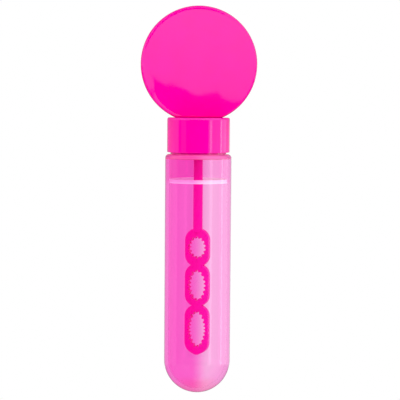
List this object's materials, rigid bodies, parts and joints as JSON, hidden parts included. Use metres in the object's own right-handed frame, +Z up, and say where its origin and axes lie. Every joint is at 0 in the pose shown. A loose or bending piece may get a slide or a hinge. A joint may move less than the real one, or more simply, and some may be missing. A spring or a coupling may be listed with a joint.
{
  "type": "bubble wand",
  "caption": "Clear round-bottomed tube of bubble liquid with a screw cap that carries a flat round disc above it and a dipping wand of grooved loops below it.",
  "frame": {"origin": "the lowest point of the tube's round bottom, on the tube's axis", "axes": "+Z up along the tube's axis through the cap and the disc, -Y and +Y out of the disc's two flat faces, +X to the right when the disc is seen from -Y"},
  "size_m": [0.0358, 0.0206, 0.12],
  "materials": {
    "clear_pink_polystyrene": "gloss",
    "soap_water": "polished",
    "polyethylene_foam": "matte",
    "magenta_polypropylene": "satin",
    "pink_polypropylene": "gloss"
  },
  "bodies": {
    "tube": {"bottle": "clear_pink_polystyrene", "bubble_liquid": "soap_water"},
    "liner": {"cap_liner": "polyethylene_foam"},
    "wand": {"dipping_wand": "magenta_polypropylene"},
    "cap": {"screw_cap": "pink_polypropylene", "head_disc": "pink_polypropylene"}
  },
  "joints": [
    {"name": "wand_draw", "type": "slide", "parent": "tube", "child": "liner", "axis": [0, 0, 1], "range_m": [0, 0.08], "deforming": ["bubble_liquid"]},
    {"name": "cap_rise", "type": "slide", "parent": "liner", "child": "wand", "axis": [0, 0, 1], "range_m": [0, 0.0045]},
    {"name": "cap_unscrew", "type": "hinge", "parent": "wand", "child": "cap", "pos_m": [0, 0, 0.0817], "axis": [0, 0, 1], "range_deg": [0, 540]}
  ],
  "couplings": [
    {"joint": "cap_rise", "follows": "cap_unscrew", "m_per_rad": 0.00047746}
  ]
}
